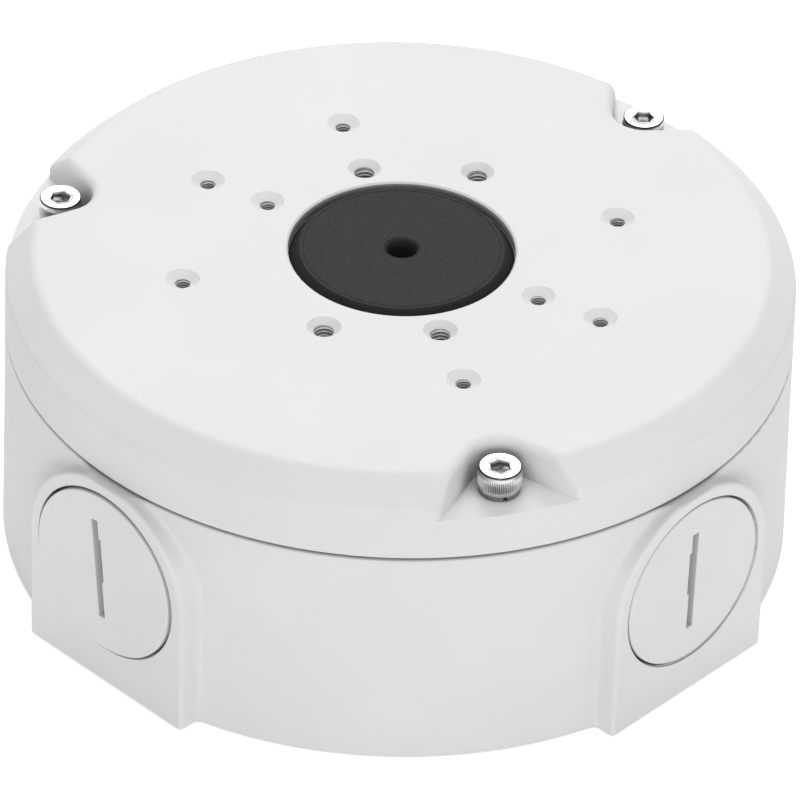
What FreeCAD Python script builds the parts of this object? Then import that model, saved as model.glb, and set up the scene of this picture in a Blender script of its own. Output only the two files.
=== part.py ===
import FreeCAD, Part
import math
import os
import Sketcher

# A round camera junction box: cast base with three threaded conduit entries, cast lid with a
# pattern of camera fixing holes, rubber cable grommet, lid gasket, three cap screws and three plugs.
# Origin: centre of the flat wall face. +Z points from the wall to the lid. +X points out of one entry.
# All lengths are in millimetres and all angles in degrees.

doc = FreeCAD.newDocument("camera_junction_box")

# Driving dimensions
SIZES = (
    ("base_radius", 67.0, "base: outer radius at the wall face"),
    ("base_taper", 0.67, "base: how much smaller the outer radius is at the rim"),
    ("base_height", 40.5, "base: wall face to rim"),
    ("wall_thickness", 4.0, "base: side wall at the rim"),
    ("floor_thickness", 3.2, "base: floor"),
    ("cavity_draft", 0.35, "base: how much narrower the cavity is at the floor"),
    ("rim_trim", 5.0, "base: height cast above the rim and trimmed off"),
    ("cut_margin", 1.0, "how far a cut runs past the metal"),
    ("joint_overlap", 0.5, "how far added metal runs into what it joins"),
    ("entry_radius", 15.85, "conduit entry: bore, major radius of the thread"),
    ("entry_bridge", 1.7, "conduit entry: metal between the bore and the rim"),
    ("entry_wall", 2.25, "conduit entry: boss wall around the bore"),
    ("boss_proud", 1.4, "conduit entry: boss face outside the base radius"),
    ("collar_wall", 3.0, "conduit entry: wall of the inner collar"),
    ("collar_depth", 12.5, "conduit entry: boss face to the collar's inner end"),
    ("boss_root_fillet", 1.2, "conduit entry: blend from boss to side wall"),
    ("boss_face_fillet", 0.7, "conduit entry: rounded edge of the boss face"),
    ("foot_fillet", 0.5, "base: rounded edge of the wall face"),
    ("rim_fillet", 0.5, "base: rounded outer edge of the rim"),
    ("screw_inset", 6.85, "lid screws: rim radius to screw axis"),
    ("screw_angle", 330.0, "lid screws: direction of the first"),
    ("post_radius", 6.6, "lid screws: posts in base and lid"),
    ("tapped_radius", 2.02, "lid screws: tapped hole in the base post"),
    ("tapped_spare", 3.0, "lid screws: tapped depth below the screw tip"),
    ("cable_hole_radius", 14.0, "rear cable hole"),
    ("cable_rim_width", 2.6, "rear cable hole: width of its raised rim"),
    ("cable_rim_height", 3.0, "rear cable hole: rim above the floor"),
    ("wall_hole_distance", 45.0, "wall fixing: centre of the box to each hole"),
    ("wall_hole_radius", 2.6, "wall fixing: hole"),
    ("wall_pad_radius", 6.0, "wall fixing: raised pad"),
    ("wall_pad_height", 1.6, "wall fixing: pad above the floor"),
    ("parting_gap", 0.6, "dark line between base rim and lid edge"),
    ("lid_height", 13.7, "lid: edge to top face"),
    ("lid_inset", 0.13, "lid: shoulder radius less than the rim radius"),
    ("lid_edge_draft", 0.15, "lid: how much wider the edge is than the shoulder"),
    ("shoulder_width", 4.5, "lid: sloped shoulder, across"),
    ("shoulder_drop", 4.4, "lid: sloped shoulder, down"),
    ("crown_fillet", 2.0, "lid: rounding from top face to shoulder"),
    ("shoulder_fillet", 1.2, "lid: rounding from shoulder to side"),
    ("skirt_thickness", 4.3, "lid: side wall"),
    ("plate_thickness", 3.5, "lid: top plate"),
    ("notch_depth", 6.3, "lid notch: floor below the top face"),
    ("notch_radius", 4.95, "lid notch: back of the floor, about the screw"),
    ("notch_flare_angle", 41.2, "lid notch: angle of each side to the outward direction"),
    ("notch_draft_angle", 5.0, "lid notch: wall angle"),
    ("notch_fillet", 1.5, "lid notch: soft upper edge"),
    ("notch_wall", 3.0, "lid notch: metal behind and below it"),
    ("stop_radius", 3.1, "lid: stop pad that rests on the base post"),
    ("screw_clearance", 0.2, "lid: hole round the screw shank"),
    ("gasket_inset", 2.23, "gasket: rim radius to its centre line"),
    ("gasket_width", 1.8, "gasket: width"),
    ("gasket_bypass", 4.6, "gasket: radius round the inside of each screw"),
    ("gasket_blend", 5.0, "gasket: radius of the blends"),
    ("groove_depth", 1.5, "gasket groove: depth in the lid edge"),
    ("groove_clearance", 0.1, "gasket groove: free space each side"),
    ("window_radius", 19.06, "lid window: radius above the ledge"),
    ("window_ledge", 1.4, "lid window: ledge that the grommet grips"),
    ("window_depth", 2.1, "lid window: top face to ledge"),
    ("window_chamfer", 0.3, "lid window: broken upper edge"),
    ("grommet_taper", 1.63, "grommet: how much smaller the face is than the window"),
    ("grommet_face_step", 0.5, "grommet: straight edge under the face"),
    ("grommet_overlap", 3.84, "grommet: lower flange past the ledge"),
    ("grommet_flange_thickness", 2.2, "grommet: lower flange"),
    ("grommet_bore", 2.6, "grommet: cable hole"),
    ("grommet_countersink", 0.45, "grommet: chamfer of the cable hole"),
    ("grommet_clearance", 0.08, "grommet: free space to the lid"),
    ("dimple_radius", 2.85, "camera hole: conical dimple at the top face"),
    ("dimple_depth", 1.0, "camera hole: dimple"),
    ("small_hole_radius", 1.3, "camera hole: tapped hole, small thread"),
    ("large_hole_radius", 1.75, "camera hole: tapped hole, large thread"),
    ("small_dimple_floor", 2.1, "camera hole: flat ring, small thread"),
    ("large_dimple_floor", 2.3, "camera hole: flat ring, large thread"),
    ("outer_circle", 37.7, "camera holes: outer circle"),
    ("middle_circle", 26.0, "camera holes: middle circle"),
    ("inner_circle", 23.8, "camera holes: inner circle"),
    ("head_radius", 3.55, "screw: head"),
    ("head_height", 4.0, "screw: head"),
    ("head_chamfer", 0.35, "screw: head's upper edge"),
    ("shank_radius", 1.97, "screw: shank"),
    ("screw_length", 16.0, "screw: below the head"),
    ("socket_across", 3.0, "screw: hexagon socket across flats"),
    ("socket_depth", 2.2, "screw: hexagon socket"),
    ("socket_turn_angle_front", 20.5, "front screw: direction of the socket"),
    ("socket_turn_angle_rear", -16.5, "rear screw: direction of the socket"),
    ("socket_turn_angle_left", 1.5, "left screw: direction of the socket"),
    ("washer_radius", 3.4, "spring washer: outside"),
    ("washer_hole", 2.1, "spring washer: hole"),
    ("washer_thickness", 0.8, "spring washer"),
    ("washer_split", 0.6, "spring washer: gap of the split"),
    ("plug_clearance", 0.1, "plug: thread to bore"),
    ("plug_edge_step", 0.42, "plug: face radius less than the thread radius"),
    ("plug_edge", 2.2, "plug: length of the reduced front edge"),
    ("plug_edge_fillet", 0.25, "plug: rounded edges of face and slot"),
    ("plug_length", 11.0, "plug"),
    ("plug_wall", 2.6, "plug: wall of the hollow back"),
    ("plug_face_thickness", 5.0, "plug: solid front"),
    ("plug_sink_right", 0.1, "right plug: face below the boss face"),
    ("plug_sink_front", -0.5, "front plug: face below the boss face"),
    ("plug_sink_left", 0.1, "left plug: face below the boss face"),
    ("slot_lean_angle_right", -1.0, "right plug: lean of the slot"),
    ("slot_lean_angle_front", 5.4, "front plug: lean of the slot"),
    ("slot_lean_angle_left", 3.0, "left plug: lean of the slot"),
    ("slot_aside_right", 0.0, "right plug: slot beside the axis"),
    ("slot_aside_front", -1.1, "front plug: slot beside the axis"),
    ("slot_aside_left", 0.0, "left plug: slot beside the axis"),
    ("slot_length", 19.3, "plug: coin slot"),
    ("slot_width", 1.4, "plug: coin slot"),
    ("slot_depth", 1.8, "plug: coin slot"),
    ("slot_lift_right", 0.1, "right plug: slot above the axis"),
    ("slot_lift_front", 0.6, "front plug: slot above the axis"),
    ("slot_lift_left", 0.1, "left plug: slot above the axis"),
    ("slot_step_right", -0.2, "right plug: deeper middle beside the slot"),
    ("slot_step_front", 0.2, "front plug: deeper middle beside the slot"),
    ("slot_step_left", 0.2, "left plug: deeper middle beside the slot"),
    ("slot_middle_length", 8.4, "plug: deeper middle of the slot"),
    ("slot_middle_width", 1.8, "plug: deeper middle of the slot"),
    ("slot_middle_lift", 1.8, "plug: deeper middle above the slot's own middle"),
    ("slot_middle_depth", 3.2, "plug: deeper middle of the slot"),
    ("ring_section", 0.85, "plug seal: section radius"),
    ("ring_clearance", 0.06, "plug seal: free space in its groove"),
    ("ring_place", 4.2, "plug seal: below the plug face"),
)

sheet = doc.addObject("Spreadsheet::Sheet", "Sizes")
for row, (alias, number, note) in enumerate(SIZES, start=1):
    sheet.set("A%d" % row, note)
    sheet.set("B%d" % row, str(number))
    sheet.setAlias("B%d" % row, alias)
doc.recompute()

# Places worked out from the driving dimensions
RIM_RADIUS = "(Sizes.base_radius - Sizes.base_taper)"
SCREW_CIRCLE = "(%s - Sizes.screw_inset)" % RIM_RADIUS
CAVITY_RIM = "(%s - Sizes.wall_thickness)" % RIM_RADIUS
ENTRY_HEIGHT = "(Sizes.base_height - Sizes.entry_bridge - Sizes.entry_radius)"
BOSS_FACE = "(Sizes.base_radius + Sizes.boss_proud)"
LID_EDGE = "(Sizes.base_height + Sizes.parting_gap)"
TOP = "(%s + Sizes.lid_height)" % LID_EDGE
SHOULDER_RADIUS = "(%s - Sizes.lid_inset)" % RIM_RADIUS
PLATE_UNDERSIDE = "(%s - Sizes.plate_thickness)" % TOP
SCREW_SEAT = "(%s - Sizes.notch_depth)" % TOP
SCREW_HEAD_SEAT = "(%s + Sizes.washer_thickness)" % SCREW_SEAT
SCREW_TIP = "(%s - Sizes.screw_length)" % SCREW_HEAD_SEAT
GROOVE_TOP = "(%s + Sizes.groove_depth)" % LID_EDGE
LEDGE_TOP = "(%s - Sizes.window_depth)" % TOP
LEDGE_RADIUS = "(Sizes.window_radius - Sizes.window_ledge)"
PLUG_RADIUS = "(Sizes.entry_radius - Sizes.plug_clearance)"
PLUG_FACE_RADIUS = "(%s - Sizes.plug_edge_step)" % PLUG_RADIUS
RING_RADIUS = "(Sizes.entry_radius - Sizes.ring_clearance - Sizes.ring_section)"

# Directions of the repeated pieces. Screws are counted from the first one.
SCREW_ANGLES = (("front", 0), ("rear", 120), ("left", 240))
ENTRY_ANGLES = (("right", 0), ("front", -90), ("left", 180))
WALL_HOLE_ANGLES = (45, 135, 225, 315)
TINY = 1e-9


def value_of(text):
    """The number that an expression over the sheet gives."""
    return float(sheet.evalExpression(text))


def new_body(name):
    """An empty body whose label names its file."""
    body = doc.addObject("PartDesign::Body", name)
    body.Label = name
    return body


def origin_feature(body, role):
    """One of the body's own origin planes or axes."""
    for feature in body.Origin.OriginFeatures:
        if feature.Role == role:
            return feature
    raise ValueError(role)


def new_sketch(body, name, role, lift="0"):
    """A sketch on an origin plane of the body, moved along the plane's normal."""
    sketch = body.newObject("Sketcher::SketchObject", name)
    sketch.AttachmentSupport = [(origin_feature(body, role), "")]
    sketch.MapMode = "FlatFace"
    sketch.setExpression("AttachmentOffset.Base.z", lift)
    return sketch


def bind(sketch, kind, *terms):
    """Add a dimension to a sketch and tie it to the expression that ends the terms."""
    text = terms[-1]
    index = sketch.addConstraint(Sketcher.Constraint(kind, *terms[:-1], value_of(text)))
    sketch.setExpression("Constraints[%d]" % index, text)


def pin_point(sketch, geometry, end, across, up):
    """Fix a point of the sketch at two expressions, measured from its origin."""
    for kind, axis, text in (("DistanceX", -2, across), ("DistanceY", -1, up)):
        if text == "0":
            sketch.addConstraint(Sketcher.Constraint("PointOnObject", geometry, end, axis))
        else:
            bind(sketch, kind, -1, 1, geometry, end, text)


def draw_outline(sketch, corners):
    """A closed outline of straight lines through corners given as pairs of expressions."""
    points = [FreeCAD.Vector(value_of(across), value_of(up), 0) for across, up in corners]
    count = len(corners)
    lines = [Part.LineSegment(points[i], points[(i + 1) % count]) for i in range(count)]
    first = sketch.addGeometry(lines, False)[0]
    for i in range(count):
        following = first + (i + 1) % count
        sketch.addConstraint(Sketcher.Constraint("Coincident", first + i, 2, following, 1))
        pin_point(sketch, first + i, 1, *corners[i])


def draw_circle(sketch, across, up, radius):
    """A circle whose centre and radius are expressions."""
    centre = FreeCAD.Vector(value_of(across), value_of(up), 0)
    circle = Part.Circle(centre, FreeCAD.Vector(0, 0, 1), value_of(radius))
    index = sketch.addGeometry(circle, False)
    pin_point(sketch, index, 3, across, up)
    bind(sketch, "Radius", index, radius)


def draw_arch(sketch, half_width, centre_height):
    """An arch that stands on the horizontal axis: straight sides and a half-round top."""
    width, height = value_of(half_width), value_of(centre_height)
    corners = [FreeCAD.Vector(x, y, 0)
               for x, y in ((-width, height), (-width, 0), (width, 0), (width, height))]
    sides = [Part.LineSegment(corners[i], corners[i + 1]) for i in range(3)]
    circle = Part.Circle(FreeCAD.Vector(0, height, 0), FreeCAD.Vector(0, 0, 1), width)
    left, foot, right = sketch.addGeometry(sides, False)
    top = sketch.addGeometry(Part.ArcOfCircle(circle, 0, math.pi), False)
    sketch.addConstraint([
        Sketcher.Constraint("Coincident", left, 2, foot, 1),
        Sketcher.Constraint("Coincident", foot, 2, right, 1),
        Sketcher.Constraint("Tangent", right, 2, top, 1),
        Sketcher.Constraint("Tangent", top, 2, left, 1),
        Sketcher.Constraint("Vertical", left),
        Sketcher.Constraint("PointOnObject", foot, 1, -1),
        Sketcher.Constraint("PointOnObject", foot, 2, -1),
        Sketcher.Constraint("PointOnObject", top, 3, -2),
    ])
    bind(sketch, "Radius", top, half_width)
    bind(sketch, "DistanceY", -1, 1, top, 3, centre_height)


def draw_flared_notch(sketch, radius, reach):
    """A notch round the screw axis: a round back, and two sides that flare out to the reach."""
    centre, back, end = value_of(SCREW_CIRCLE), value_of(radius), value_of(reach)
    flare = math.radians(value_of("Sizes.notch_flare_angle"))
    turn = flare + math.pi / 2
    touch = FreeCAD.Vector(centre + back * math.cos(turn), back * math.sin(turn), 0)
    mouth = FreeCAD.Vector(end, touch.y + (end - touch.x) * math.tan(flare), 0)
    mirrored = [FreeCAD.Vector(point.x, -point.y, 0) for point in (touch, mouth)]
    circle = Part.Circle(FreeCAD.Vector(centre, 0, 0), FreeCAD.Vector(0, 0, 1), back)
    round_back = sketch.addGeometry(Part.ArcOfCircle(circle, turn, 2 * math.pi - turn), False)
    lower, front, upper = sketch.addGeometry([
        Part.LineSegment(mirrored[0], mirrored[1]),
        Part.LineSegment(mirrored[1], mouth),
        Part.LineSegment(mouth, touch)], False)
    sketch.addConstraint([
        Sketcher.Constraint("Tangent", round_back, 2, lower, 1),
        Sketcher.Constraint("Coincident", lower, 2, front, 1),
        Sketcher.Constraint("Coincident", front, 2, upper, 1),
        Sketcher.Constraint("Tangent", upper, 2, round_back, 1),
        Sketcher.Constraint("PointOnObject", round_back, 3, -1),
        Sketcher.Constraint("Symmetric", front, 1, front, 2, -1),
    ])
    bind(sketch, "DistanceX", -1, 1, round_back, 3, SCREW_CIRCLE)
    bind(sketch, "Radius", round_back, radius)
    bind(sketch, "DistanceX", -1, 1, front, 1, reach)
    angle = sketch.addConstraint(Sketcher.Constraint("Angle", lower, 1, upper, 2, 2 * flare))
    sketch.setExpression("Constraints[%d]" % angle, "Sizes.notch_flare_angle * 2 deg")


def draw_seal_loop(sketch, outward):
    """One edge of the gasket: round the rim, and round the inside of each screw, blended with arcs.

    outward is the expression by which this edge lies outside the gasket's centre line."""
    ring_text = "%s - Sizes.gasket_inset + (%s)" % (RIM_RADIUS, outward)
    bypass_text = "Sizes.gasket_bypass - (%s)" % outward
    blend_text = "Sizes.gasket_blend + (%s)" % outward
    ring, bypass, blend = value_of(ring_text), value_of(bypass_text), value_of(blend_text)
    circle_of_screws = value_of(SCREW_CIRCLE)
    blend_distance = ring - blend
    screw_to_blend = bypass + blend
    cosine = (circle_of_screws ** 2 + blend_distance ** 2 - screw_to_blend ** 2) / (
        2 * circle_of_screws * blend_distance)
    swing = math.acos(cosine)
    step = 2 * math.pi / len(SCREW_ANGLES)
    axis = FreeCAD.Vector(0, 0, 1)

    def at(distance, angle):
        return FreeCAD.Vector(distance * math.cos(angle), distance * math.sin(angle), 0)

    def arc(centre, radius, start, end):
        """Arc between two points, anticlockwise."""
        circle = Part.Circle(centre, axis, radius)
        return Part.ArcOfCircle(circle, circle.parameter(start), circle.parameter(end))

    rings, bypasses, blends, order = [], [], [], []
    for number in range(len(SCREW_ANGLES)):
        direction = number * step
        screw = at(circle_of_screws, direction)
        before = at(blend_distance, direction - swing)
        after = at(blend_distance, direction + swing)
        leave_ring = at(ring, direction - swing)
        join_ring = at(ring, direction + swing)
        enter = before + (screw - before) * (blend / screw_to_blend)
        leave = after + (screw - after) * (blend / screw_to_blend)
        next_ring = at(ring, direction + step - swing)
        into = sketch.addGeometry(arc(before, blend, leave_ring, enter), False)
        past = sketch.addGeometry(arc(screw, bypass, leave, enter), False)
        out_of = sketch.addGeometry(arc(after, blend, leave, join_ring), False)
        along = sketch.addGeometry(arc(FreeCAD.Vector(), ring, join_ring, next_ring), False)
        blends += [into, out_of]
        bypasses.append(past)
        rings.append(along)
        order += [(into, 1, 2), (past, 2, 1), (out_of, 1, 2), (along, 1, 2)]
        angle = number * 360.0 / len(SCREW_ANGLES)
        pin_point(sketch, past, 3, *polar(SCREW_CIRCLE, "%g" % angle))
        sketch.addConstraint(Sketcher.Constraint("Coincident", along, 3, -1, 1))
    for i, (piece, _, end) in enumerate(order):
        following, start, _ = order[(i + 1) % len(order)]
        sketch.addConstraint(Sketcher.Constraint("Tangent", piece, end, following, start))
    for group, text in ((rings, ring_text), (bypasses, bypass_text), (blends, blend_text)):
        bind(sketch, "Radius", group[0], text)
        for other in group[1:]:
            sketch.addConstraint(Sketcher.Constraint("Equal", group[0], other))


def polar(distance, angle):
    """A place as a pair of expressions, from a distance and an angle."""
    pair = []
    for function in ("cos", "sin"):
        text = "%s * %s((%s) * 1 deg)" % (distance, function, angle)
        pair.append("0" if abs(value_of(text)) < TINY else text)
    return pair


def finish_feature(body, feature, name):
    """Label a feature and make it the body's result."""
    feature.Label = "%s %s" % (body.Label, name)
    body.Tip = feature
    doc.recompute()
    return feature


def add_pad(body, name, sketch, length, upward=True):
    """Add material from the sketch by a length."""
    pad = body.newObject("PartDesign::Pad", name)
    pad.Profile = sketch
    pad.setExpression("Length", length)
    pad.Reversed = not upward
    return finish_feature(body, pad, name)


def cut_pocket(body, name, sketch, length, upward=False, taper=None):
    """Take material away from the sketch by a length, and see that something was cut."""
    before = body.Shape.Volume
    pocket = body.newObject("PartDesign::Pocket", name)
    pocket.Profile = sketch
    pocket.setExpression("Length", length)
    pocket.Reversed = upward
    if taper:
        pocket.setExpression("TaperAngle", taper)
    finish_feature(body, pocket, name)
    if body.Shape.Volume >= before:
        raise RuntimeError("%s cut nothing" % name)
    return pocket


def revolve(body, name, sketch):
    """A full turn of the sketch about its vertical axis."""
    turned = body.newObject("PartDesign::Revolution", name)
    turned.Profile = sketch
    turned.ReferenceAxis = (sketch, ["V_Axis"])
    turned.Angle = 360
    return finish_feature(body, turned, name)


def repeat_round(body, name, originals, count, angle=360, reverse=False):
    """Repeat features round the body's vertical axis."""
    pattern = body.newObject("PartDesign::PolarPattern", name)
    pattern.Originals = originals
    pattern.Axis = (origin_feature(body, "Z_Axis"), [""])
    pattern.Angle = angle
    pattern.Occurrences = count
    pattern.Reversed = reverse
    return finish_feature(body, pattern, name)


def round_edges(body, name, radius, chosen):
    """Fillet the edges of the body's result that the test chooses."""
    base = body.Tip
    names = ["Edge%d" % (i + 1) for i, edge in enumerate(base.Shape.Edges) if chosen(edge)]
    if not names:
        raise RuntimeError("%s found no edge" % name)
    fillet = body.newObject("PartDesign::Fillet", name)
    fillet.Base = (base, names)
    fillet.setExpression("Radius", radius)
    return finish_feature(body, fillet, name)


def middle_of(edge):
    """The point halfway along an edge."""
    return edge.valueAt((edge.FirstParameter + edge.LastParameter) / 2)


def near(value, target, tolerance=0.02):
    """Whether two lengths agree."""
    return abs(value - target) < tolerance


# Base housing: a cast cup with drafted walls, three arched entry bosses and three screw posts
def make_base():
    body = new_body("base_housing")
    trimmed = "Sizes.base_height + Sizes.rim_trim"
    draft = "Sizes.base_taper / Sizes.base_height"
    cup = new_sketch(body, "cup_profile", "XZ_Plane")
    draw_outline(cup, (
        ("0", "0"),
        ("Sizes.base_radius", "0"),
        ("%s - %s * Sizes.rim_trim" % (RIM_RADIUS, draft), trimmed),
        (CAVITY_RIM, trimmed),
        ("%s - Sizes.cavity_draft" % CAVITY_RIM, "Sizes.floor_thickness"),
        ("0", "Sizes.floor_thickness")))
    revolve(body, "cup", cup)

    boss = new_sketch(body, "boss_outline", "YZ_Plane", CAVITY_RIM)
    draw_arch(boss, "Sizes.entry_radius + Sizes.entry_wall", ENTRY_HEIGHT)
    boss_pad = add_pad(body, "boss", boss, "%s - %s" % (BOSS_FACE, CAVITY_RIM))
    repeat_round(body, "bosses", [boss_pad], 3, 180, reverse=True)
    round_boss_edges(body)

    inner_end = "(%s - Sizes.collar_depth)" % BOSS_FACE
    collar = new_sketch(body, "collar_outline", "YZ_Plane", inner_end)
    draw_arch(collar, "Sizes.entry_radius + Sizes.collar_wall", ENTRY_HEIGHT)
    collar_pad = add_pad(body, "collar", collar, "%s - %s" % (CAVITY_RIM, inner_end))
    repeat_round(body, "collars", [collar_pad], 3, 180, reverse=True)

    post = new_sketch(body, "post_outline", "XY_Plane")
    draw_circle(post, *polar(SCREW_CIRCLE, "Sizes.screw_angle"), "Sizes.post_radius")
    post_pad = add_pad(body, "post", post, "Sizes.base_height + Sizes.cut_margin")
    repeat_round(body, "posts", [post_pad], len(SCREW_ANGLES))

    raised = new_sketch(body, "floor_pads_outline", "XY_Plane")
    for angle in WALL_HOLE_ANGLES:
        place = polar("Sizes.wall_hole_distance", "%d" % angle)
        draw_circle(raised, *place, "Sizes.wall_pad_radius")
    add_pad(body, "floor_pads", raised, "Sizes.floor_thickness + Sizes.wall_pad_height")
    rim = new_sketch(body, "cable_rim_outline", "XY_Plane")
    draw_circle(rim, "0", "0", "Sizes.cable_hole_radius + Sizes.cable_rim_width")
    add_pad(body, "cable_rim", rim, "Sizes.floor_thickness + Sizes.cable_rim_height")

    trim = new_sketch(body, "trim_outline", "XY_Plane", "Sizes.base_height")
    draw_circle(trim, "0", "0", "%s + Sizes.cut_margin" % BOSS_FACE)
    cut_pocket(body, "trim", trim, "Sizes.rim_trim + Sizes.cut_margin", upward=True)
    rim_radius, rim_height = value_of(RIM_RADIUS), value_of("Sizes.base_height")

    def at_rim(edge):
        point = middle_of(edge)
        return near(edge.BoundBox.ZMin, rim_height) and near(math.hypot(point.x, point.y), rim_radius)

    round_edges(body, "rim", "Sizes.rim_fillet", at_rim)

    bore = new_sketch(body, "entry_outline", "YZ_Plane", BOSS_FACE)
    draw_circle(bore, "0", ENTRY_HEIGHT, "Sizes.entry_radius")
    entry = cut_pocket(body, "entry", bore, "Sizes.collar_depth")
    repeat_round(body, "entries", [entry], 3, 180, reverse=True)

    tapped = new_sketch(body, "tapped_outline", "XY_Plane", "Sizes.base_height")
    draw_circle(tapped, *polar(SCREW_CIRCLE, "Sizes.screw_angle"), "Sizes.tapped_radius")
    depth = "Sizes.base_height - %s + Sizes.tapped_spare" % SCREW_TIP
    tapped_hole = cut_pocket(body, "tapped_hole", tapped, depth)
    repeat_round(body, "tapped_holes", [tapped_hole], len(SCREW_ANGLES))

    through = new_sketch(body, "floor_holes_outline", "XY_Plane")
    draw_circle(through, "0", "0", "Sizes.cable_hole_radius")
    for angle in WALL_HOLE_ANGLES:
        place = polar("Sizes.wall_hole_distance", "%d" % angle)
        draw_circle(through, *place, "Sizes.wall_hole_radius")
    deepest = "Sizes.floor_thickness + Sizes.cable_rim_height + Sizes.wall_pad_height"
    cut_pocket(body, "floor_holes", through, deepest, upward=True)
    return body


def round_boss_edges(body):
    """Blend each boss into the side wall, and round the edge of its face."""
    half_width = value_of("Sizes.entry_radius + Sizes.entry_wall")
    height = value_of(ENTRY_HEIGHT)
    bottom_radius = value_of("Sizes.base_radius")
    slope = value_of("Sizes.base_taper / Sizes.base_height")
    face = value_of(BOSS_FACE)

    def boss_place(point):
        """Sideways and outward place of a point, for the boss that it is nearest to."""
        directions = [math.radians(entry[1]) for entry in ENTRY_ANGLES]
        outward = [point.x * math.cos(a) + point.y * math.sin(a) for a in directions]
        best = outward.index(max(outward))
        angle = directions[best]
        return point.y * math.cos(angle) - point.x * math.sin(angle), outward[best]

    def on_arch(point):
        side, _ = boss_place(point)
        if point.z <= height:
            return near(abs(side), half_width) and not near(point.z, 0)
        return near(math.hypot(side, point.z - height), half_width)

    def at_root(edge):
        point = middle_of(edge)
        on_wall = near(math.hypot(point.x, point.y), bottom_radius - slope * point.z)
        return on_wall and on_arch(point)

    def at_face(edge):
        point = middle_of(edge)
        return near(boss_place(point)[1], face) and on_arch(point)

    round_edges(body, "boss_roots", "Sizes.boss_root_fillet", at_root)
    round_edges(body, "boss_faces", "Sizes.boss_face_fillet", at_face)
    round_edges(body, "foot", "Sizes.foot_fillet", lambda edge: near(edge.BoundBox.ZMax, 0))


# Lid: a shallow cast cap. Its own frame has the first screw on +X, so it is turned into place.
def turn_into_place(body, angle=0):
    """Turn a body about the vertical axis, to the first screw and by an angle on from it."""
    quarter_turn = FreeCAD.Rotation(FreeCAD.Vector(0, 0, 1), 90)
    body.Placement = FreeCAD.Placement(FreeCAD.Vector(), quarter_turn)
    body.setExpression("Placement.Rotation.Angle", "(Sizes.screw_angle + %d) * 1 deg" % angle)


def make_lid():
    body = new_body("lid")
    turn_into_place(body)
    skirt = "(%s - Sizes.skirt_thickness)" % SHOULDER_RADIUS
    cap = new_sketch(body, "cap_profile", "XZ_Plane")
    draw_outline(cap, (
        ("Sizes.window_radius", "%s - Sizes.window_chamfer" % TOP),
        ("Sizes.window_radius + Sizes.window_chamfer", TOP),
        ("%s - Sizes.shoulder_width" % SHOULDER_RADIUS, TOP),
        (SHOULDER_RADIUS, "%s - Sizes.shoulder_drop" % TOP),
        ("%s + Sizes.lid_edge_draft" % SHOULDER_RADIUS, LID_EDGE),
        (skirt, LID_EDGE),
        (skirt, PLATE_UNDERSIDE),
        (LEDGE_RADIUS, PLATE_UNDERSIDE),
        (LEDGE_RADIUS, LEDGE_TOP),
        ("Sizes.window_radius", LEDGE_TOP)))
    revolve(body, "cap", cap)
    top, shoulder = value_of(TOP), value_of("%s - Sizes.shoulder_drop" % TOP)
    crown = value_of("%s - Sizes.shoulder_width" % SHOULDER_RADIUS)
    outside = value_of(SHOULDER_RADIUS)

    def on_circle(edge, radius, height):
        point = middle_of(edge)
        return near(math.hypot(point.x, point.y), radius) and near(point.z, height)

    round_edges(body, "crown", "Sizes.crown_fillet", lambda edge: on_circle(edge, crown, top))
    round_edges(body, "shoulder", "Sizes.shoulder_fillet",
                lambda edge: on_circle(edge, outside, shoulder))

    backing_base = "(%s - Sizes.notch_wall)" % SCREW_SEAT
    backing = new_sketch(body, "notch_backing_outline", "XY_Plane", backing_base)
    draw_flared_notch(backing, "Sizes.notch_radius + Sizes.notch_wall", "%s + Sizes.joint_overlap" % skirt)
    backing_pad = add_pad(body, "notch_backing", backing,
                          "%s - %s + Sizes.joint_overlap" % (PLATE_UNDERSIDE, backing_base))
    post = new_sketch(body, "lid_post_outline", "XY_Plane", LID_EDGE)
    draw_circle(post, SCREW_CIRCLE, "0", "Sizes.post_radius")
    post_pad = add_pad(body, "lid_post", post, "%s - %s" % (SCREW_SEAT, LID_EDGE))
    repeat_round(body, "lid_posts", [backing_pad, post_pad], len(SCREW_ANGLES))

    notch = new_sketch(body, "notch_outline", "XY_Plane", SCREW_SEAT)
    draw_flared_notch(notch, "Sizes.notch_radius", "%s + Sizes.notch_depth" % SHOULDER_RADIUS)
    notch_cut = cut_pocket(body, "notch", notch, "Sizes.notch_depth + Sizes.cut_margin", upward=True,
                           taper="Sizes.notch_draft_angle * 1 deg")
    repeat_round(body, "notches", [notch_cut], len(SCREW_ANGLES))
    soften_notches(body)

    stop = new_sketch(body, "stop_outline", "XY_Plane", "Sizes.base_height")
    draw_circle(stop, SCREW_CIRCLE, "0", "Sizes.stop_radius")
    stop_pad = add_pad(body, "stop", stop, "%s - Sizes.base_height" % SCREW_SEAT)
    repeat_round(body, "stops", [stop_pad], len(SCREW_ANGLES))
    hole = new_sketch(body, "screw_hole_outline", "XY_Plane", SCREW_SEAT)
    draw_circle(hole, SCREW_CIRCLE, "0", "Sizes.shank_radius + Sizes.screw_clearance")
    screw_hole = cut_pocket(body, "screw_hole", hole, "%s - Sizes.base_height" % SCREW_SEAT)
    repeat_round(body, "screw_holes", [screw_hole], len(SCREW_ANGLES))

    groove = new_sketch(body, "groove_outline", "XY_Plane", LID_EDGE)
    draw_seal_loop(groove, "Sizes.gasket_width / 2 + Sizes.groove_clearance")
    draw_seal_loop(groove, "-Sizes.gasket_width / 2 - Sizes.groove_clearance")
    cut_pocket(body, "groove", groove, "Sizes.groove_depth", upward=True)
    drill_camera_holes(body)
    return body


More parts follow.
